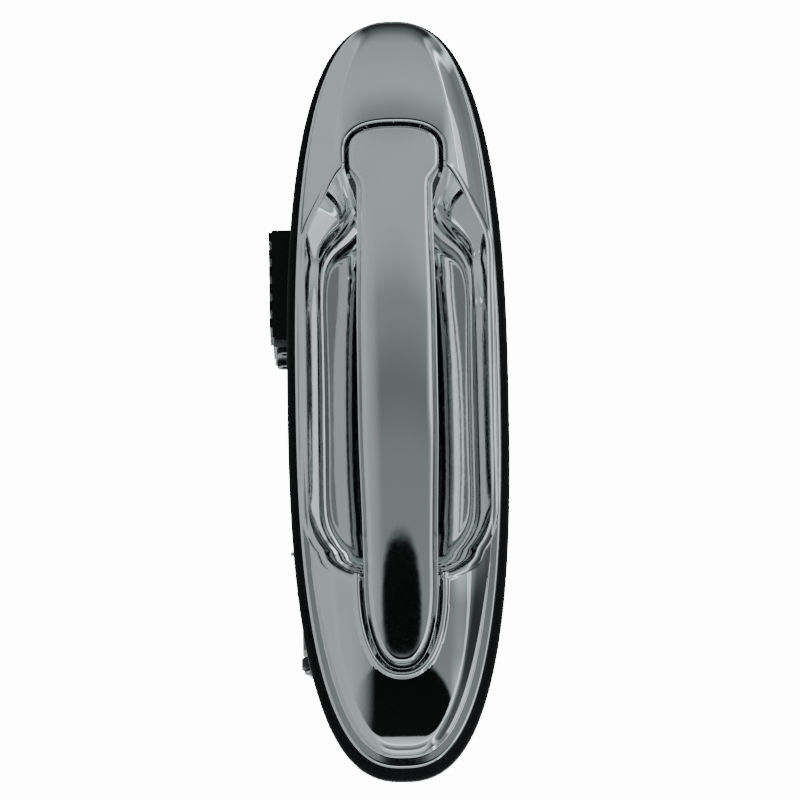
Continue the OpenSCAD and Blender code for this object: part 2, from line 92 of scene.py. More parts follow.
# the room round the grip's head and tip, with the slots for its arm and leg: from x, to x, half the width
GAP = 1.1
ROOM_CLEAR = 1.3
ROOM_CHAMFER = 2
LIP_R = 0.95
LIP_HIGH = 1.0
HEAD_ROUND = 1.5
ARM_SLOT = (-84, -72, 8)
LEG_SLOT = (64.6, 76.6, 5.2)

GASKET_T = 3.0


# ---- small sums ----
def ease(u):
    c = np.clip(u, 0, 1)
    return c * c * (3 - 2 * c)


def mix(a, b, u):
    return a + (b - a) * u


def signed_power(v, p):
    return np.sign(v) * np.abs(v) ** p


def soft_min(a, b, k):
    h = np.clip(0.5 + (b - a) / k / 2, 0, 1)
    return mix(b, a, h) - k * h * (1 - h)


def round_off(e, r):
    """How far a rounded edge of radius r has dropped at distance e from the side."""
    e = np.clip(e, 0, r)
    return r - np.sqrt(np.maximum(r * r - (r - e) ** 2, 0))


def bulge(d, r):
    """Height from 0 to 1 of a half-round bead that lies from d = 0 to d = 2 r."""
    return np.sqrt(np.clip(1 - ((d - r) / r) ** 2, 0, 1))


# ---- the bezel's domed surface ----
def oval_ratio(x, y):
    """1 on the bezel's outline, 0 in its middle."""
    return ((np.abs(x) / HALF_LONG) ** POWER + (np.abs(y) / HALF_WIDE) ** POWER) ** (1 / POWER)


def inset(x, y):
    """Distance in from the bezel's outline."""
    r = np.maximum(oval_ratio(x, y), 0.01)
    p = POWER
    slope_x = np.abs(x) ** (p - 1) / HALF_LONG ** p
    slope_y = np.abs(y) ** (p - 1) / HALF_WIDE ** p
    g = r ** (1 - p) * np.hypot(slope_x, slope_y)
    return (1 - oval_ratio(x, y)) / np.maximum(g, 0.004)


def along(x):
    """0 at the hinge end, 1 at the pull end."""
    return np.clip((x + HALF_LONG) / (2 * HALF_LONG), 0, 1)


def edge_z(x):
    return mix(HINGE_EDGE, PULL_EDGE, along(x))


def flange(x):
    return mix(HINGE_FLANGE, PULL_FLANGE, along(x))


def crest(x):
    """Height of the dome's back line, which falls in a curve to the edge's height at each end."""
    e = edge_z(x)
    hinge_drop = (np.maximum(HINGE_BEND_X - x, 0) / HINGE_BEND_LONG) ** 2
    pull_drop = (np.maximum(x - PULL_BEND_X, 0) / PULL_BEND_LONG) ** 2.1
    a = e + (HINGE_CREST - e) * np.sqrt(np.maximum(1 - hinge_drop, 0))
    b = e + (PULL_CREST - e) * np.sqrt(np.maximum(1 - pull_drop, 0))
    return np.where(x < 0, a, b)


def dome_z(x, y):
    """A flat rim, then a slope up to the crest, which is crowned across the handle."""
    d = inset(x, y)
    e = np.maximum(d - flange(x), 0)
    slope = 1.05 + 0.95 * ease((x - 40) / 60)
    low = edge_z(x) + 0.1 * np.minimum(d, 4) + slope * e
    z = np.where(e > 0, soft_min(crest(x) - CROWN * y * y, low, 1.8), low)
    return z - round_off(d, EDGE_ROUND)


# ---- outlines: half curves from the pull end to the hinge end, y >= 0 ----
def arc(cx, cy, r, a, b, n=40):
    t = np.radians(np.linspace(a, b, n))
    return np.c_[cx + r * np.cos(t), cy + r * np.sin(t)]


def oval_half(n):
    t = np.linspace(0, math.pi, n)
    x = HALF_LONG * signed_power(np.cos(t), 2 / POWER)
    return np.c_[x, HALF_WIDE * np.maximum(np.sin(t), 0) ** (2 / POWER)]


def resample(p, n):
    """The same curve with n points at equal steps."""
    s = np.r_[0, np.cumsum(np.hypot(*np.diff(p, axis=0).T))]
    keep = np.r_[True, np.diff(s) > 1e-9]
    t = np.linspace(0, s[-1], n)
    return np.c_[np.interp(t, s[keep], p[keep, 0]), np.interp(t, s[keep], p[keep, 1])]


def whole(half):
    """The closed outline that a half curve and its mirror image make."""
    return np.r_[half, half[-2:0:-1] * [1, -1]]


def normals(p, closed=True):
    d = np.roll(p, -1, 0) - np.roll(p, 1, 0) if closed else np.gradient(p, axis=0)
    d /= np.maximum(np.hypot(*d.T), 1e-12)[:, None]
    return np.c_[d[:, 1], -d[:, 0]]


def half_normals(half):
    """Outward directions at the points of a half curve."""
    n = normals(whole(half))[: len(half)]
    n[0] = (1, 0)
    n[-1] = (-1, 0)
    return n


def grown(half, d):
    w = whole(half)
    g = w + normals(w) * d
    g = g[: len(half)]
    g[0, 1] = g[-1, 1] = 0
    return g


def smoothed(half, sigma):
    """A half curve, or values along one, blurred along the closed outline by sigma points."""
    w = whole(half) if half.ndim == 2 else np.r_[half, half[-2:0:-1]]
    g = np.exp(-2 * (math.pi * np.fft.rfftfreq(len(w)) * sigma) ** 2)
    f = np.fft.rfft(w, axis=0) * (g[:, None] if w.ndim == 2 else g)
    return np.fft.irfft(f, len(w), axis=0)[: len(half)]


def waist(x):
    """Half the grip's width between its head and its tip."""
    swell = mix(NECK_HALF, GRIP_HALF, ease((x + 58) / 40))
    far = mix(swell, TIP_HALF, ease((x - 12) / 48))
    return np.where(x < -58, mix(HEAD_HALF, NECK_HALF, ease((x + 69.5) / 7)), far)


def grip_half_curve():
    t = np.radians(np.linspace(0, 90, 200))
    tip = np.c_[TIP_X + TIP_LONG * np.cos(t) ** (2 / TIP_POWER), TIP_HALF * np.sin(t) ** (2 / TIP_POWER)]
    x = np.linspace(TIP_X - 0.5, HEAD_X + 0.5, 500)
    t = np.radians(np.linspace(90, 180, 200))
    nose_x = HEAD_X + NOSE * signed_power(np.cos(t), 2 / NOSE_POWER)
    nose = np.c_[nose_x, HEAD_HALF * np.maximum(np.sin(t), 0) ** (2 / NOSE_POWER)]
    return np.r_[tip, np.c_[x, waist(x)], nose]


def pocket_half_curve():
    """A blunt pull end, a wide corner, a straight side, a slant and a small corner by the grip's neck."""
    return np.r_[[[62.4, 0], [61.9, 5.4]],
                 arc(47.6, 10.8, 14, 0, 56),
                 arc(37, POCKET_HALF - 26, 26, 56, 90),
                 arc(-43.8, POCKET_HALF - 20, 20, 90, 120),
                 arc(-64.5, 13.6, 4.5, 120, 180),
                 [[-69.6, 6.5], [-70.4, 0]]]


def inside(p, half):
    """Is each point inside the closed curve that this half curve makes?"""
    x = p[:, 0]
    y = np.abs(p[:, 1])
    a = whole(half[::6])
    b = np.roll(a, -1, 0)
    within = np.zeros(len(p), bool)
    for (x0, y0), (x1, y1) in zip(a, b):
        if y0 != y1:
            within ^= ((y0 > y) != (y1 > y)) & (x < (x1 - x0) * (y - y0) / (y1 - y0) + x0)
    return within


def distance(p, half, step=4, batch=20000):
    """Distance from each point to the half curve and its mirror image."""
    q = np.c_[p[:, 0], np.abs(p[:, 1])]
    c = half[::step]
    a = c[:-1]
    d = np.diff(c, axis=0)
    best = np.full(len(q), 1e9)
    l2 = np.maximum((d ** 2).sum(1), 1e-12)
    for s in range(0, len(q), batch):
        r = q[s:s + batch, None] - a[None]
        t = np.clip((r * d).sum(2) / l2, 0, 1)
        best[s:s + batch] = np.sqrt(((r - t[..., None] * d) ** 2).sum(2).min(1))
    return best


POCKET = resample(smoothed(resample(pocket_half_curve(), 2400), 14), 2400)
GRIP = resample(grip_half_curve(), 2400)
ROOM = grown(GRIP, GAP)

# ---- the opening's edge: tip room, pocket, head room ----
room_free = ~inside(ROOM, POCKET)
pocket_free = ~inside(POCKET, ROOM)
tip_part = ROOM[: np.argmin(room_free)]
head_part = ROOM[len(ROOM) - np.argmin(room_free[::-1]):]
rim_part = POCKET[np.flatnonzero(pocket_free & (np.abs(POCKET[:, 1]) > 8))]
HEAD_GAP_X = head_part[0, 0]
TIP_GAP_X = tip_part[-1, 0]


def surface_z(x, y):
    """The bezel's polished outer surface with its beads and rounded edges."""
    p = np.c_[x.ravel(), y.ravel()]
    z = dome_z(p[:, 0], p[:, 1])
    to_pocket = distance(p, POCKET)
    to_room = distance(p, ROOM)
    bead = BEAD_HIGH * bulge(to_pocket, BEAD_R)
    lip = LIP_HIGH * bulge(to_room, LIP_R) * (p[:, 0] > 40)
    head = round_off(to_room, HEAD_ROUND) * (p[:, 0] < -60)
    return (z + np.maximum(bead, lip) - head).reshape(x.shape)


# ---- mesh making ----
def to_row(v):
    """From this script's mm to the frame's metres."""
    v = np.asarray(v, float).reshape(-1, 3) / 1000
    return np.c_[v[:, 0], -v[:, 2], v[:, 1]]


def make(name, points, faces, material):
    m = bpy.data.meshes.new(name)
    m.from_pydata(to_row(points).tolist(), [], faces)
    m.update()
    bm = bmesh.new()
    bm.from_mesh(m)
    bmesh.ops.remove_doubles(bm, verts=bm.verts, dist=1e-6)
    bmesh.ops.dissolve_degenerate(bm, dist=1e-7, edges=bm.edges)
    bm.to_mesh(m)
    bm.free()
    m.polygons.foreach_set("use_smooth", [True] * len(m.polygons))
    o = bpy.data.objects.new(name, m)
    bpy.context.scene.collection.objects.link(o)
    m.materials.append(material)
    return o


def ring_faces(k, n, closed=True, flip=False):
    """Quads between k rings of n points that run the same way; the last ring is the upper or inner one."""
    i = np.arange(n if closed else n - 1)
    j = (i + 1) % n
    rows = []
    for r in range(k - 1):
        a = r * n
        b = a + n
        q = np.c_[a + i, a + j, b + j, b + i]
        rows.append(q[:, ::-1] if flip else q)
    return np.concatenate(rows).tolist()


def skin(name, rings, material, flip=False):
    rings = np.asarray(rings, float)
    return make(name, rings, ring_faces(len(rings), rings.shape[1], flip=flip), material)


def full3(half, z):
    """A half curve with its heights, made into a closed ring of points."""
    w = np.c_[half, z]
    return np.r_[w, w[-2:0:-1] * [1, -1, 1]]


# ---- materials ----
def node_material(name):
    m = bpy.data.materials.new(name)
    m.use_nodes = True
    t = m.node_tree
    return m, t, t.nodes["Principled BSDF"]


def link(t, a, out, b, into):
    t.links.new(a.outputs[out], b.inputs[into])


def noise(t, scale, detail, rough, stretch=None):
    c = t.nodes.new("ShaderNodeTexCoord")
    n = t.nodes.new("ShaderNodeTexNoise")
    n.inputs["Scale"].default_value = scale
    n.inputs["Detail"].default_value = detail
    n.inputs["Roughness"].default_value = rough
    if stretch:
        m = t.nodes.new("ShaderNodeMapping")
        m.inputs["Scale"].default_value = stretch
        link(t, c, "Object", m, "Vector")
        link(t, m, "Vector", n, "Vector")
    else:
        link(t, c, "Object", n, "Vector")
    return n


def map_range(t, a, b, low, high, smooth=False):
    """A Map Range node from a..b to low..high."""
    r = t.nodes.new("ShaderNodeMapRange")
    if smooth:
        r.interpolation_type = "SMOOTHSTEP"
    r.inputs["From Min"].default_value = a
    r.inputs["From Max"].default_value = b
    r.inputs["To Min"].default_value = low
    r.inputs["To Max"].default_value = high
    return r


def span(t, source, low, high):
    r = map_range(t, 0.35, 0.65, low, high)
    link(t, source, "Fac", r, "Value")
    return r


def tint(t, source, dark, light, a=0.35, b=0.65):
    r = t.nodes.new("ShaderNodeValToRGB")
    r.color_ramp.elements[0].position = a
    r.color_ramp.elements[1].position = b
    r.color_ramp.elements[0].color = (*dark, 1)
    r.color_ramp.elements[1].color = (*light, 1)
    link(t, source, "Fac", r, "Fac")
    return r


def bump(t, source, bsdf, strength, height):
    b = t.nodes.new("ShaderNodeBump")
    b.inputs["Strength"].default_value = strength
    b.inputs["Distance"].default_value = height
    link(t, source, "Fac", b, "Height")
    link(t, b, "Normal", bsdf, "Normal")


def chrome(name, base, haze):
    """Plated chrome: a faint cloud in its colour, fine haze in its gloss and a slow waviness."""
    m, t, b = node_material(name)
    b.inputs["Metallic"].default_value = 1
    cloud = noise(t, 60, 5, 0.6)
    link(t, tint(t, cloud, [c * 0.965 for c in base], base, 0.3, 0.7), "Color", b, "Base Color")
    link(t, span(t, noise(t, 900, 3, 0.7), haze * 0.6, haze * 1.6), "Result", b, "Roughness")
    bump(t, noise(t, 140, 2, 0.5), b, 0.05, 0.00015)
    return m


def rough_stuff(name, dark, light, rough, grain, metal=0.0, height=0.0001, strength=0.35, stretch=None):
    """Any grained finish: colour, gloss and bump all vary with the grain; stretch draws the grain out."""
    m, t, b = node_material(name)
    b.inputs["Metallic"].default_value = metal
    if light[0] < 0.05:
        b.inputs["Specular IOR Level"].default_value = 0.22
    n = noise(t, grain, 5, 0.6, stretch)
    link(t, tint(t, n, dark, light), "Color", b, "Base Color")
    link(t, span(t, noise(t, grain * 0.4, 3, 0.5), rough * 0.85, rough * 1.15), "Result", b, "Roughness")
    bump(t, n, b, strength, height)
    return m


CHROME = chrome("polished chrome", (0.80, 0.815, 0.82), 0.035)
CHROME_IN = rough_stuff("plated inside", (0.16, 0.165, 0.17), (0.24, 0.245, 0.25), 0.42, 700, 0.75)
RUBBER = rough_stuff("black rubber", (0.004, 0.005, 0.005), (0.008, 0.009, 0.009), 0.5, 1500)
NYLON = rough_stuff("black nylon", (0.016, 0.016, 0.017), (0.030, 0.030, 0.031), 0.46, 1300,
                    height=0.0002, strength=0.5)
WEIGHT = rough_stuff("black block", (0.004, 0.004, 0.004), (0.010, 0.010, 0.010), 0.40, 1100,
                     height=0.0002, strength=0.5)
STEEL = rough_stuff("bright steel", (0.42, 0.43, 0.44), (0.60, 0.61, 0.62), 0.26, 500,
                    metal=1, height=0.00005, strength=0.3, stretch=(1, 12, 12))
SPRING = rough_stuff("spring wire", (0.40, 0.40, 0.41), (0.58, 0.58, 0.59), 0.3, 900,
                     metal=1, height=0.00004, strength=0.3)
ZINC = rough_stuff("cast zinc", (0.15, 0.155, 0.16), (0.24, 0.245, 0.25), 0.45, 600,
                   metal=0.9, height=0.0002, strength=0.5)
BLACKED = rough_stuff("blacked steel", (0.020, 0.020, 0.021), (0.045, 0.045, 0.046), 0.35, 800,
                      metal=0.9, height=0.00005, strength=0.3)
ACETAL = rough_stuff("pale acetal", (0.66, 0.64, 0.58), (0.74, 0.72, 0.66), 0.38, 900,
                     height=0.00008, strength=0.3)


# ---- bezel: the polished face between the outline and the opening ----
def spread(u, o, near, far, counts):
    """Places along the lines from u to o: close together near each end. Returns (rings, points, 2)."""
    length = np.hypot(*(o - u).T)
    a = np.minimum(near, 0.4 * length) / length
    b = np.minimum(far, 0.4 * length) / length
    rows = [a * s for s in np.linspace(0, 1, counts[0], endpoint=False)]
    rows += [mix(a, 1 - b, s) for s in np.linspace(0, 1, counts[1], endpoint=False)]
    rows += [1 - b * (1 - s) for s in np.linspace(0, 1, counts[2]) ** 0.8]
    return np.array([u + (o - u) * v[:, None] for v in rows])


def three_runs(a, b, c):
    """Three curves end to end: the pull end, the side and the hinge end, with the points that each needs."""
    return np.r_[resample(a, 260)[:-1], resample(b, 560)[:-1], resample(c, 220)]


outline = resample(oval_half(4000), 4000)
pull_cut = np.argmin(np.abs(outline[:, 0] - 76))
hinge_cut = np.argmin(np.abs(outline[:, 0] + 84))
inner_curve = three_runs(tip_part, rim_part, head_part)
outer_curve = three_runs(outline[: pull_cut + 1], outline[pull_cut: hinge_cut + 1], outline[hinge_cut:])
lines = spread(inner_curve, outer_curve, 2.6, 4.6, (18, 34, 22))
heights = surface_z(lines[..., 0], lines[..., 1])
rings = [full3(h, z) for h, z in zip(lines, heights)]
low_edge = full3(outer_curve, np.full(len(outer_curve), GASKET_T + 0.02))
rings.append(mix(rings[-1], low_edge, 0.3))
rings.append(low_edge)
bezel_face = skin("bezel_face", rings, CHROME, flip=True)


# ---- the grip's heights, which the rooms round its head and tip follow ----
def grip_crest(x):
    u = np.clip((x - FRONT) / (BACK - FRONT), 0, 1)
    return mix(18.3, 17.6, u) + BOW * np.maximum(np.sin(math.pi * u), 0) ** 1.15


def grip_deep(x):
    return mix(mix(8, 8.5, ease((x + 75) / 30)), 6.4, ease((x - 45) / 35))


def cover_deep(x):
    return mix(4.4, 3.4, ease((x - 50) / 30))


def room_floor(x):
    return grip_crest(x) - grip_deep(x) - ROOM_CLEAR


# ---- bezel: the pocket ----
def floor_z(c):
    """The pocket's floor dishes gently towards its middle."""
    return DISH * c[:, 1] ** 2 - DEEP


bowl_line = resample(POCKET, 620)
turned = smoothed(half_normals(bowl_line), 22)[:, 0]
fall_long = np.where(turned < 0, mix(7.5, 20, -turned), mix(7.5, 14, turned))
fall_power = np.where(turned < 0, mix(3.4, 2, -turned), mix(3.4, 2.6, turned))
spine = np.c_[smoothed(np.clip(bowl_line[:, 0] * 0.8, -40, 36), 24), np.zeros(len(bowl_line))]
to_spine = np.hypot(*(bowl_line - spine).T)
bowl_edge = dome_z(bowl_line[:, 0], bowl_line[:, 1])
under_room = np.minimum(bowl_edge, room_floor(bowl_line[:, 0]))
bowl_top = np.where(inside(bowl_line, ROOM), under_room, bowl_edge)
rings = []
for u in np.r_[np.linspace(0, 1, 64) ** 1.6, 1.15, 1.4]:
    v = np.minimum(u * fall_long / to_spine, 0.97)
    c = bowl_line + (spine - bowl_line) * v[:, None]
    w = np.clip(v * to_spine / fall_long, 0, 1)
    rings.append(full3(c, mix(bowl_top, floor_z(c), 1 - (1 - w) ** fall_power)))
for v in (0.55, 0.75, 0.97):
    far_v = np.maximum(v, np.minimum(1.4 * fall_long / to_spine, 0.97))
    c = bowl_line + (spine - bowl_line) * far_v[:, None]
    rings.append(full3(c, floor_z(c)))
rings.append(full3(spine, floor_z(spine)))
bezel_bowl = skin("bezel_bowl", rings, CHROME)


# ---- bezel: the walls and floor round the grip's head and tip ----
def room_patch(name, part, slot, centre):
    """Walls from the opening's edge down to a slotted floor, which closes on centre, a stretch of y = 0."""
    if part[0, 1] == 0:
        p = np.r_[part[::-1] * [1, -1], part[1:]]
    else:
        p = np.r_[part, part[-2::-1] * [1, -1]]
    n = normals(p, False)
    base = room_floor(p[:, 0])
    up = surface_z(p[:, 0], p[:, 1])
    rings = [np.c_[p, mix(up, base + ROOM_CHAMFER, s)] for s in np.linspace(0, 1, 8)]
    for e in (0.3, 0.7, 1.2, 1.6, ROOM_CHAMFER):
        q = p - n * e
        rings.append(np.c_[q, room_floor(q[:, 0]) + ROOM_CHAMFER - e])
    q = p - n * ROOM_CHAMFER
    s = np.c_[np.clip(q[:, 0], *centre), np.zeros(len(q))]
    for v in np.linspace(0.05, 1, 20):
        c = q + (s - q) * v
        rings.append(np.c_[c, room_floor(c[:, 0])])
    rings = np.array(rings)
    faces = ring_faces(*rings.shape[:2], closed=False)
    mid = rings.reshape(-1, 3)[np.array(faces)].mean(1)
    in_slot = (mid[:, 0] > slot[0]) & (mid[:, 0] < slot[1]) & (np.abs(mid[:, 1]) < slot[2]) & (mid[:, 2] < 15)
    return make(name, rings, [f for f, cut in zip(faces, in_slot) if not cut], CHROME)


bezel_tip_room = room_patch("bezel_tip_room", resample(tip_part, 240), LEG_SLOT, (TIP_GAP_X, 78))
bezel_head_room = room_patch("bezel_head_room", resample(head_part, 200), ARM_SLOT, (-74, HEAD_GAP_X))


# ---- bezel: the inside of the shell, a copy of the CAD mesh without the faces that the skins cover ----
def inner_faces(source):
    mesh = source.data.copy()
    bm = bmesh.new()
    bm.from_mesh(mesh)
    bm.normal_update()
    bm.faces.ensure_lookup_table()
    mid = np.array([f.calc_center_median() for f in bm.faces]) * 1000
    mid = np.c_[mid[:, 0], mid[:, 2], -mid[:, 1]]
    facing = np.array([-f.normal.y for f in bm.faces])
    gone = (inset(mid[:, 0], mid[:, 1]) < 0.3) | ((facing > 0.02) & (mid[:, 2] > -9.2))
    on_wall = (distance(mid[:, :2], ROOM) < 0.7) & (np.abs(facing) < 0.3)
    gone |= on_wall & ~inside(mid[:, :2], POCKET)
    bmesh.ops.delete(bm, geom=[bm.faces[i] for i in np.flatnonzero(gone)], context="FACES")
    bm.to_mesh(mesh)
    bm.free()
    mesh.materials.clear()
    mesh.materials.append(CHROME_IN)
    return mesh


bezel_inside = bpy.data.objects.new("bezel_inside", inner_faces(nodes["bezel_housing"]))
bpy.context.scene.collection.objects.link(bezel_inside)
for piece in (bezel_face, bezel_bowl, bezel_tip_room, bezel_head_room, bezel_inside):
    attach(piece, "body")
    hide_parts("bezel_housing")

# ---- gasket: a lip with a small groove, as (distance out from the chrome, height), set off by GASKET_X ----
GASKET_X = 0.7
GASKET_LIP = ((2.2, 0), (2.5, 0.1), (2.6, 0.4), (2.6, 1.9), (2.54, 2.3), (2.36, 2.66), (2.1, 2.9), (1.8, 3),
              (0.9, 3), (0.6, 2.8), (0.1, 2.75), (-0.3, 2.98))
rim = resample(oval_half(4000), 700)
rim_n = half_normals(rim)
inner = rim - rim_n * (0.45 + 4.5 * (np.abs(rim[:, :1]) / HALF_LONG) ** 4)
rings = [full3(inner, np.zeros(len(rim)))]
for d, z in GASKET_LIP:
    rings.append(full3(rim + rim_n * d + [GASKET_X, 0], np.full(len(rim), float(z))))
rings.append(full3(inner, np.full(len(rim), 2.98)))
rings.append(rings[0])
gasket = skin("gasket_lip", rings, RUBBER)
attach(gasket, "body")
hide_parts("base_gasket")

# ---- grip: the cover over the base, with a small step between them ----
grip_curve = resample(GRIP, 640)
grip_n = half_normals(grip_curve)


def grip_top(x, y):
    return grip_crest(x) - mix(CROWN, 0.0135, ease((x + 74) / 30)) * y * y


def grip_ring(cover, d, v, level, h):
    """A ring of the cover (1) or base (0): d in from its side, v of the way to the middle, h off a level."""
    step = COVER_STEP * ease((grip_curve[:, :1] + 71) / 10)
    a = grip_curve - grip_n * (cover * step + d)
    s = np.c_[np.clip(a[:, 0], -72, 76), np.zeros(len(a))]
    c = a + (s - a) * v
    x = c[:, 0]
    if level == "top":
        return full3(c, grip_top(x, c[:, 1]) - h)
    if level == "under":
        return full3(c, grip_crest(x) - grip_deep(x) + h)
    return full3(c, grip_crest(x) - cover_deep(x) + h)


parting = ((2.2, 0.06), (0.5, 0.04), (0.25, 0.06), (0.05, 0.25), (0, 0.5))
rings = [grip_ring(1, d, 0, "part", h) for d, h in parting]
wall_low = rings[-1]
wall_high = grip_ring(1, 0, 0, "top", COVER_ROUND)
rings += [mix(wall_low, wall_high, s) for s in (0.35, 0.7)]
for t in np.radians(np.linspace(0, 90, 13)):
    d = COVER_ROUND - COVER_ROUND * math.cos(t)
    rings.append(grip_ring(1, d, 0, "top", COVER_ROUND - COVER_ROUND * math.sin(t)))
rings += [grip_ring(1, COVER_ROUND, v, "top", 0) for v in np.linspace(0, 1, 34)[1:]]
cover = skin("grip_cover_skin", rings, CHROME)
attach(cover, "grip")
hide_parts("grip_cover")

rings = [grip_ring(0, BASE_TUCK, v, "under", 0) for v in np.linspace(1, 0, 14)[:-1]]
for t in np.radians(np.linspace(0, 90, 12)):
    d = BASE_TUCK - BASE_ROUND * math.sin(t)
    rings.append(grip_ring(0, d, 0, "under", BASE_ROUND - BASE_ROUND * math.cos(t)))
wall_low = rings[-1]
wall_high = grip_ring(0, 0.02, 0, "part", -0.95)
rings += [mix(wall_low, wall_high, s) for s in (0.25, 0.5, 0.75)]
for t in np.radians(np.linspace(0, 90, 7)):
    rings.append(grip_ring(0, 0.5 - 0.5 * math.cos(t), 0, "part", -0.65 + 0.5 * math.sin(t)))
rings.append(grip_ring(0, 3.6, 0, "part", -0.15))
base = skin("grip_base_skin", rings, CHROME)
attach(base, "grip")
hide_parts("grip_base")

# ---- return spring: it twists between the crank's lug and the carrier's post ----
CRANK_Y = -26.0
CRANK_Z = -19.0
SPRING_X = 43
COIL = 5.6
WIRE = 0.65
TURNS = 5
PITCH = 3.0
COIL_LONG = PITCH * TURNS
t = np.linspace(0, 2 * math.pi * TURNS, 40 * TURNS + 1)
coil = np.c_[COIL * np.cos(t), COIL * np.sin(t), PITCH * t / (2 * math.pi)]
crank_leg = [[COIL, y, 0] for y in (-8, -5.5, -3, -1.2)]
post_leg = [[COIL, y, COIL_LONG] for y in (1.2, 4, 9, 14)]
wire = np.r_[crank_leg, coil, post_leg]
heading = np.gradient(wire, axis=0)
heading /= np.linalg.norm(heading, axis=1)[:, None]
across = np.cross(heading, [0, 0, 1])
across /= np.linalg.norm(across, axis=1)[:, None]
upright = np.cross(across, heading)
round_wire = np.radians(np.arange(0, 360, 30))[:, None]
last = len(wire) - 1
rings = []
for i, radius in [(0, 0), *((i, WIRE) for i in range(len(wire))), (last, 0)]:
    p = wire[i] + radius * (across[i] * np.cos(round_wire) + upright[i] * np.sin(round_wire))
    rings.append(np.c_[SPRING_X + p[:, 2], CRANK_Y + p[:, 1], CRANK_Z - p[:, 0]])
spring = skin("spring_coil", rings, SPRING)
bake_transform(spring)
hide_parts("return_spring")

# ---- the other parts keep their CAD meshes: material and width of the soft edges in mm ----
finish_of = {
    "carrier_frame": (NYLON, 0.35),
    "counterweight": (WEIGHT, 0.45),
    "grip_arm": (STEEL, 0.3),
    "grip_leg": (STEEL, 0.3),
    "grip_screws": (STEEL, 0.1),
    "hinge_pin": (STEEL, 0.2),
    "hinge_bushes": (ACETAL, 0.15),
    "hinge_clips": (SPRING, 0.1),
    "frame_screws": (STEEL, 0.15),
    "mounting_studs": (STEEL, 0.3),
    "stud_seals": (RUBBER, 0.25),
    "bell_crank": (ZINC, 0.4),
    "crank_pin": (STEEL, 0.25),
    "crank_bushes": (ACETAL, 0.15),
    "crank_clips": (BLACKED, 0.1),
    "weight_screws": (BLACKED, 0.15),
    "return_spring": (SPRING, 0),
    "rod_clip": (ACETAL, 0.25),
    "head_buffer": (RUBBER, 0.25),
    "tip_buffers": (RUBBER, 0.2),
    "leg_boot": (RUBBER, 0.3),
    "bezel_housing": (CHROME_IN, 0),
    "base_gasket": (RUBBER, 0),
    "grip_cover": (CHROME, 0),
    "grip_base": (CHROME, 0),
}
for name, (material, width) in finish_of.items():
    o = nodes[name]
    o.data.materials.clear()
    o.data.materials.append(material)
    if width:
        b = o.modifiers.new("soft edges", "BEVEL")
        b.width = width / 1000
        b.segments = 3
        b.limit_method = "ANGLE"
        b.angle_limit = math.radians(38)
        b.harden_normals = True

# ---- stage: a pale floor that fades out at its rim ----
FLOOR_Z = -0.16
FLOOR_R = 0.62
bpy.ops.mesh.primitive_circle_add(vertices=96, radius=FLOOR_R, fill_type="NGON", location=(0, 0, FLOOR_Z))
floor = bpy.context.object
floor.name = "floor"
floor_material, ft, floor_shader = node_material("pale floor")
floor_shader.inputs["Roughness"].default_value = 0.9
floor_shader.inputs["Emission Color"].default_value = (1, 1, 1, 1)
floor_tone = tint(ft, noise(ft, 3, 2, 0.5), (0.70, 0.70, 0.70), (0.72, 0.72, 0.72))
link(ft, floor_tone, "Color", floor_shader, "Base Color")
where = ft.nodes.new("ShaderNodeTexCoord")
reach = ft.nodes.new("ShaderNodeVectorMath")
reach.operation = "LENGTH"
link(ft, where, "Object", reach, 0)
fade = map_range(ft, 0.22, 0.6, 1, 0, smooth=True)
link(ft, reach, "Value", fade, "Value")
link(ft, fade, "Result", floor_shader, "Alpha")
rays = ft.nodes.new("ShaderNodeLightPath")
glow = ft.nodes.new("ShaderNodeMath")
glow.operation = "MULTIPLY"
glow.inputs[1].default_value = 2.6
link(ft, rays, "Is Camera Ray", glow, 0)
link(ft, glow, "Value", floor_shader, "Emission Strength")
floor.data.materials.append(floor_material)

# ---- world: white where the camera sees it, a soft studio room in the chrome's reflections ----
world = bpy.data.worlds.new("studio")
bpy.context.scene.world = world
world.use_nodes = True
wt = world.node_tree
wt.nodes.clear()


def maths(a, b, op="ADD"):
    m = wt.nodes.new("ShaderNodeMath")
    m.operation = op
    for i, v in enumerate((a, b)):
        if isinstance(v, (int, float)):
            m.inputs[i].default_value = v
        else:
            wt.links.new(v, m.inputs[i])
    return m.outputs[0]


def band(value, points):
    """A smooth curve of brightness over one angle or direction; points are (place, brightness)."""
    total = points[0][1]
    for (a, low), (b, high) in zip(points, points[1:]):
        r = map_range(wt, a, b, 0, high - low, smooth=True)
        wt.links.new(value, r.inputs["Value"])
        total = maths(total, r.outputs["Result"])
    return total


coord = wt.nodes.new("ShaderNodeTexCoord")
axes = wt.nodes.new("ShaderNodeSeparateXYZ")
link(wt, coord, "Generated", axes, 0)
outward = maths(axes.outputs["Y"], -1, "MULTIPLY")
turn = maths(maths(axes.outputs["X"], outward, "ARCTAN2"), 180 / math.pi, "MULTIPLY")
rise = axes.outputs["Z"]

# light along the handle, by the angle in degrees from straight out towards the pull end
along_light = band(turn, [(-180, 0.05), (-120, 0.09), (-90, 0.16), (-75, 0.21), (-60, 0.30), (-48, 0.42),
                          (-34, 0.48), (-26, 0.26), (-17, 0.18), (-8, 0.24), (25, 0.4), (40, 0.8), (52, 1.5),
                          (64, 0.45), (92, 0.2), (100, 1.6), (112, 1.6), (122, 0.1), (180, 0.05)])

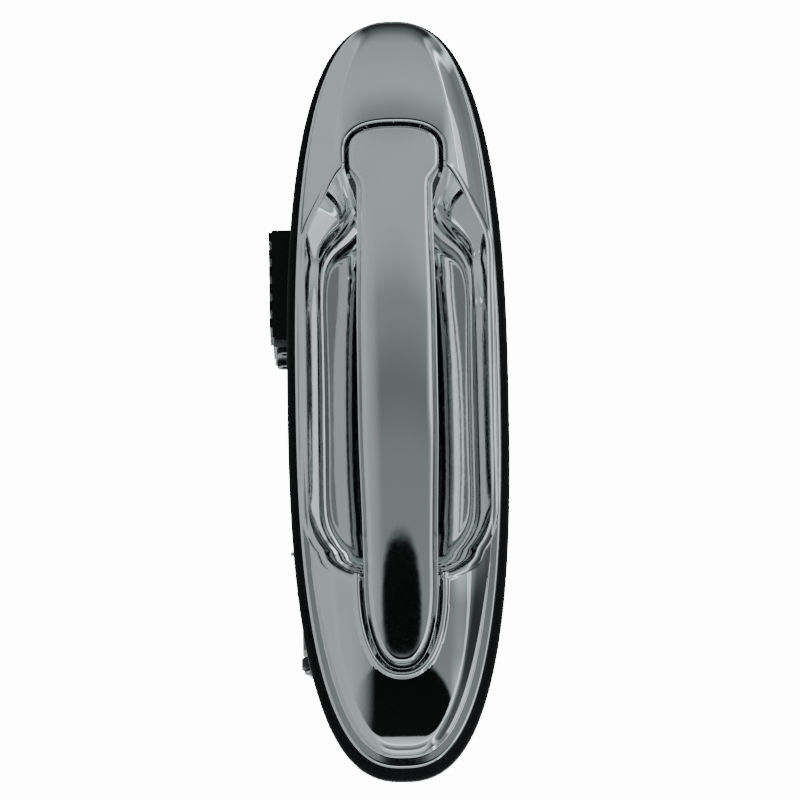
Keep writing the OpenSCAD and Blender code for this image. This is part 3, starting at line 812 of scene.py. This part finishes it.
# light above and below, with a bright strip above; it takes over from along_light away from the level
side_light = band(rise, [(-1, 0.40), (-0.82, 0.34), (-0.64, 0.5), (-0.52, 1.0), (0.52, 0.8), (0.61, 0.5),
                         (0.67, 2.6), (0.73, 0.45), (0.82, 0.36), (1, 0.38)])
side_fade = band(axes.outputs["X"], [(-0.27, 1.0), (-0.18, 0.4), (-0.08, 0.45), (0.06, 1.0)])
side_light = maths(side_light, side_fade, "MULTIPLY")
side_share = band(rise, [(-0.52, 1.0), (-0.42, 0.0), (0.42, 0.0), (0.52, 1.0)])
centre_share = maths(1, side_share, "SUBTRACT")
light = maths(maths(along_light, centre_share, "MULTIPLY"), maths(side_light, side_share, "MULTIPLY"))

# dimmer towards the door but bright straight behind it, and one soft dark shape in front of the pull end
front = band(axes.outputs["Y"], [(-0.35, 1.0), (0.1, 0.8), (0.5, 0.25)])
off_turn = maths(maths(turn, 14, "SUBTRACT"), 16, "DIVIDE")
off_rise = maths(rise, 0.45, "DIVIDE")
off_turn = maths(maths(off_turn, 2, "POWER"), 1.5, "POWER")
off_rise = maths(maths(off_rise, 2, "POWER"), 1.5, "POWER")
dark = band(maths(off_turn, off_rise), [(0.88, 0.02), (1.12, 1.0)])
rear = band(axes.outputs["Y"], [(0.72, 0.0), (0.9, 2.2)])
light = maths(maths(maths(light, front, "MULTIPLY"), dark, "MULTIPLY"), rear)

room = wt.nodes.new("ShaderNodeBackground")
room.inputs["Color"].default_value = (0.88, 0.99, 1.0, 1)
wt.links.new(light, room.inputs["Strength"])
seen = wt.nodes.new("ShaderNodeBackground")
seen.inputs["Color"].default_value = (1, 1, 1, 1)
seen.inputs["Strength"].default_value = 14.0
path = wt.nodes.new("ShaderNodeLightPath")
mixer = wt.nodes.new("ShaderNodeMixShader")
out = wt.nodes.new("ShaderNodeOutputWorld")
link(wt, path, "Is Camera Ray", mixer, "Fac")
link(wt, room, 0, mixer, 1)
link(wt, seen, 0, mixer, 2)
link(wt, mixer, 0, out, "Surface")


# ---- lamps ----
def panel(name, place, size, power):
    """A rectangular lamp that looks at the middle of the handle."""
    lamp = bpy.data.lights.new(name, "AREA")
    lamp.shape = "RECTANGLE"
    lamp.size, lamp.size_y = size
    lamp.energy = power
    o = bpy.data.objects.new(name, lamp)
    o.location = place
    o.rotation_euler = (-Vector(place)).to_track_quat("-Z", "Y").to_euler()
    bpy.context.scene.collection.objects.link(o)


panel("soft panel above", (-0.1, -0.5, 1.1), (1.4, 0.7), 2.2)
panel("soft panel behind", (0.2, 1.5, 0.7), (1.6, 0.9), 9)

# ---- camera: level with the handle, from the pull end's side, with the hinge end up in the picture ----
TILT = math.radians(17)
ROLL = math.radians(1.0)
DISTANCE = 2.5
VIEW_WIDE = 0.2462
cam = bpy.data.cameras.new("camera")
cam.sensor_width = 36
cam.lens = cam.sensor_width * DISTANCE / VIEW_WIDE
cam.clip_end = 50
camera = bpy.data.objects.new("camera", cam)
bpy.context.scene.collection.objects.link(camera)
bpy.context.scene.camera = camera
away = Vector((math.sin(TILT), -math.cos(TILT), 0))
place = Vector((0.0013, 0, 0.0006)) + away * DISTANCE
upward = Vector((-math.cos(TILT), -math.sin(TILT), 0))
right = (-away).cross(upward)
u = upward * math.cos(ROLL) + right * math.sin(ROLL)
r = right * math.cos(ROLL) - upward * math.sin(ROLL)
camera.matrix_world = Matrix(((r.x, u.x, away.x, place.x),
                              (r.y, u.y, away.y, place.y),
                              (r.z, u.z, away.z, place.z),
                              (0, 0, 0, 1)))

bpy.context.view_layer.update()
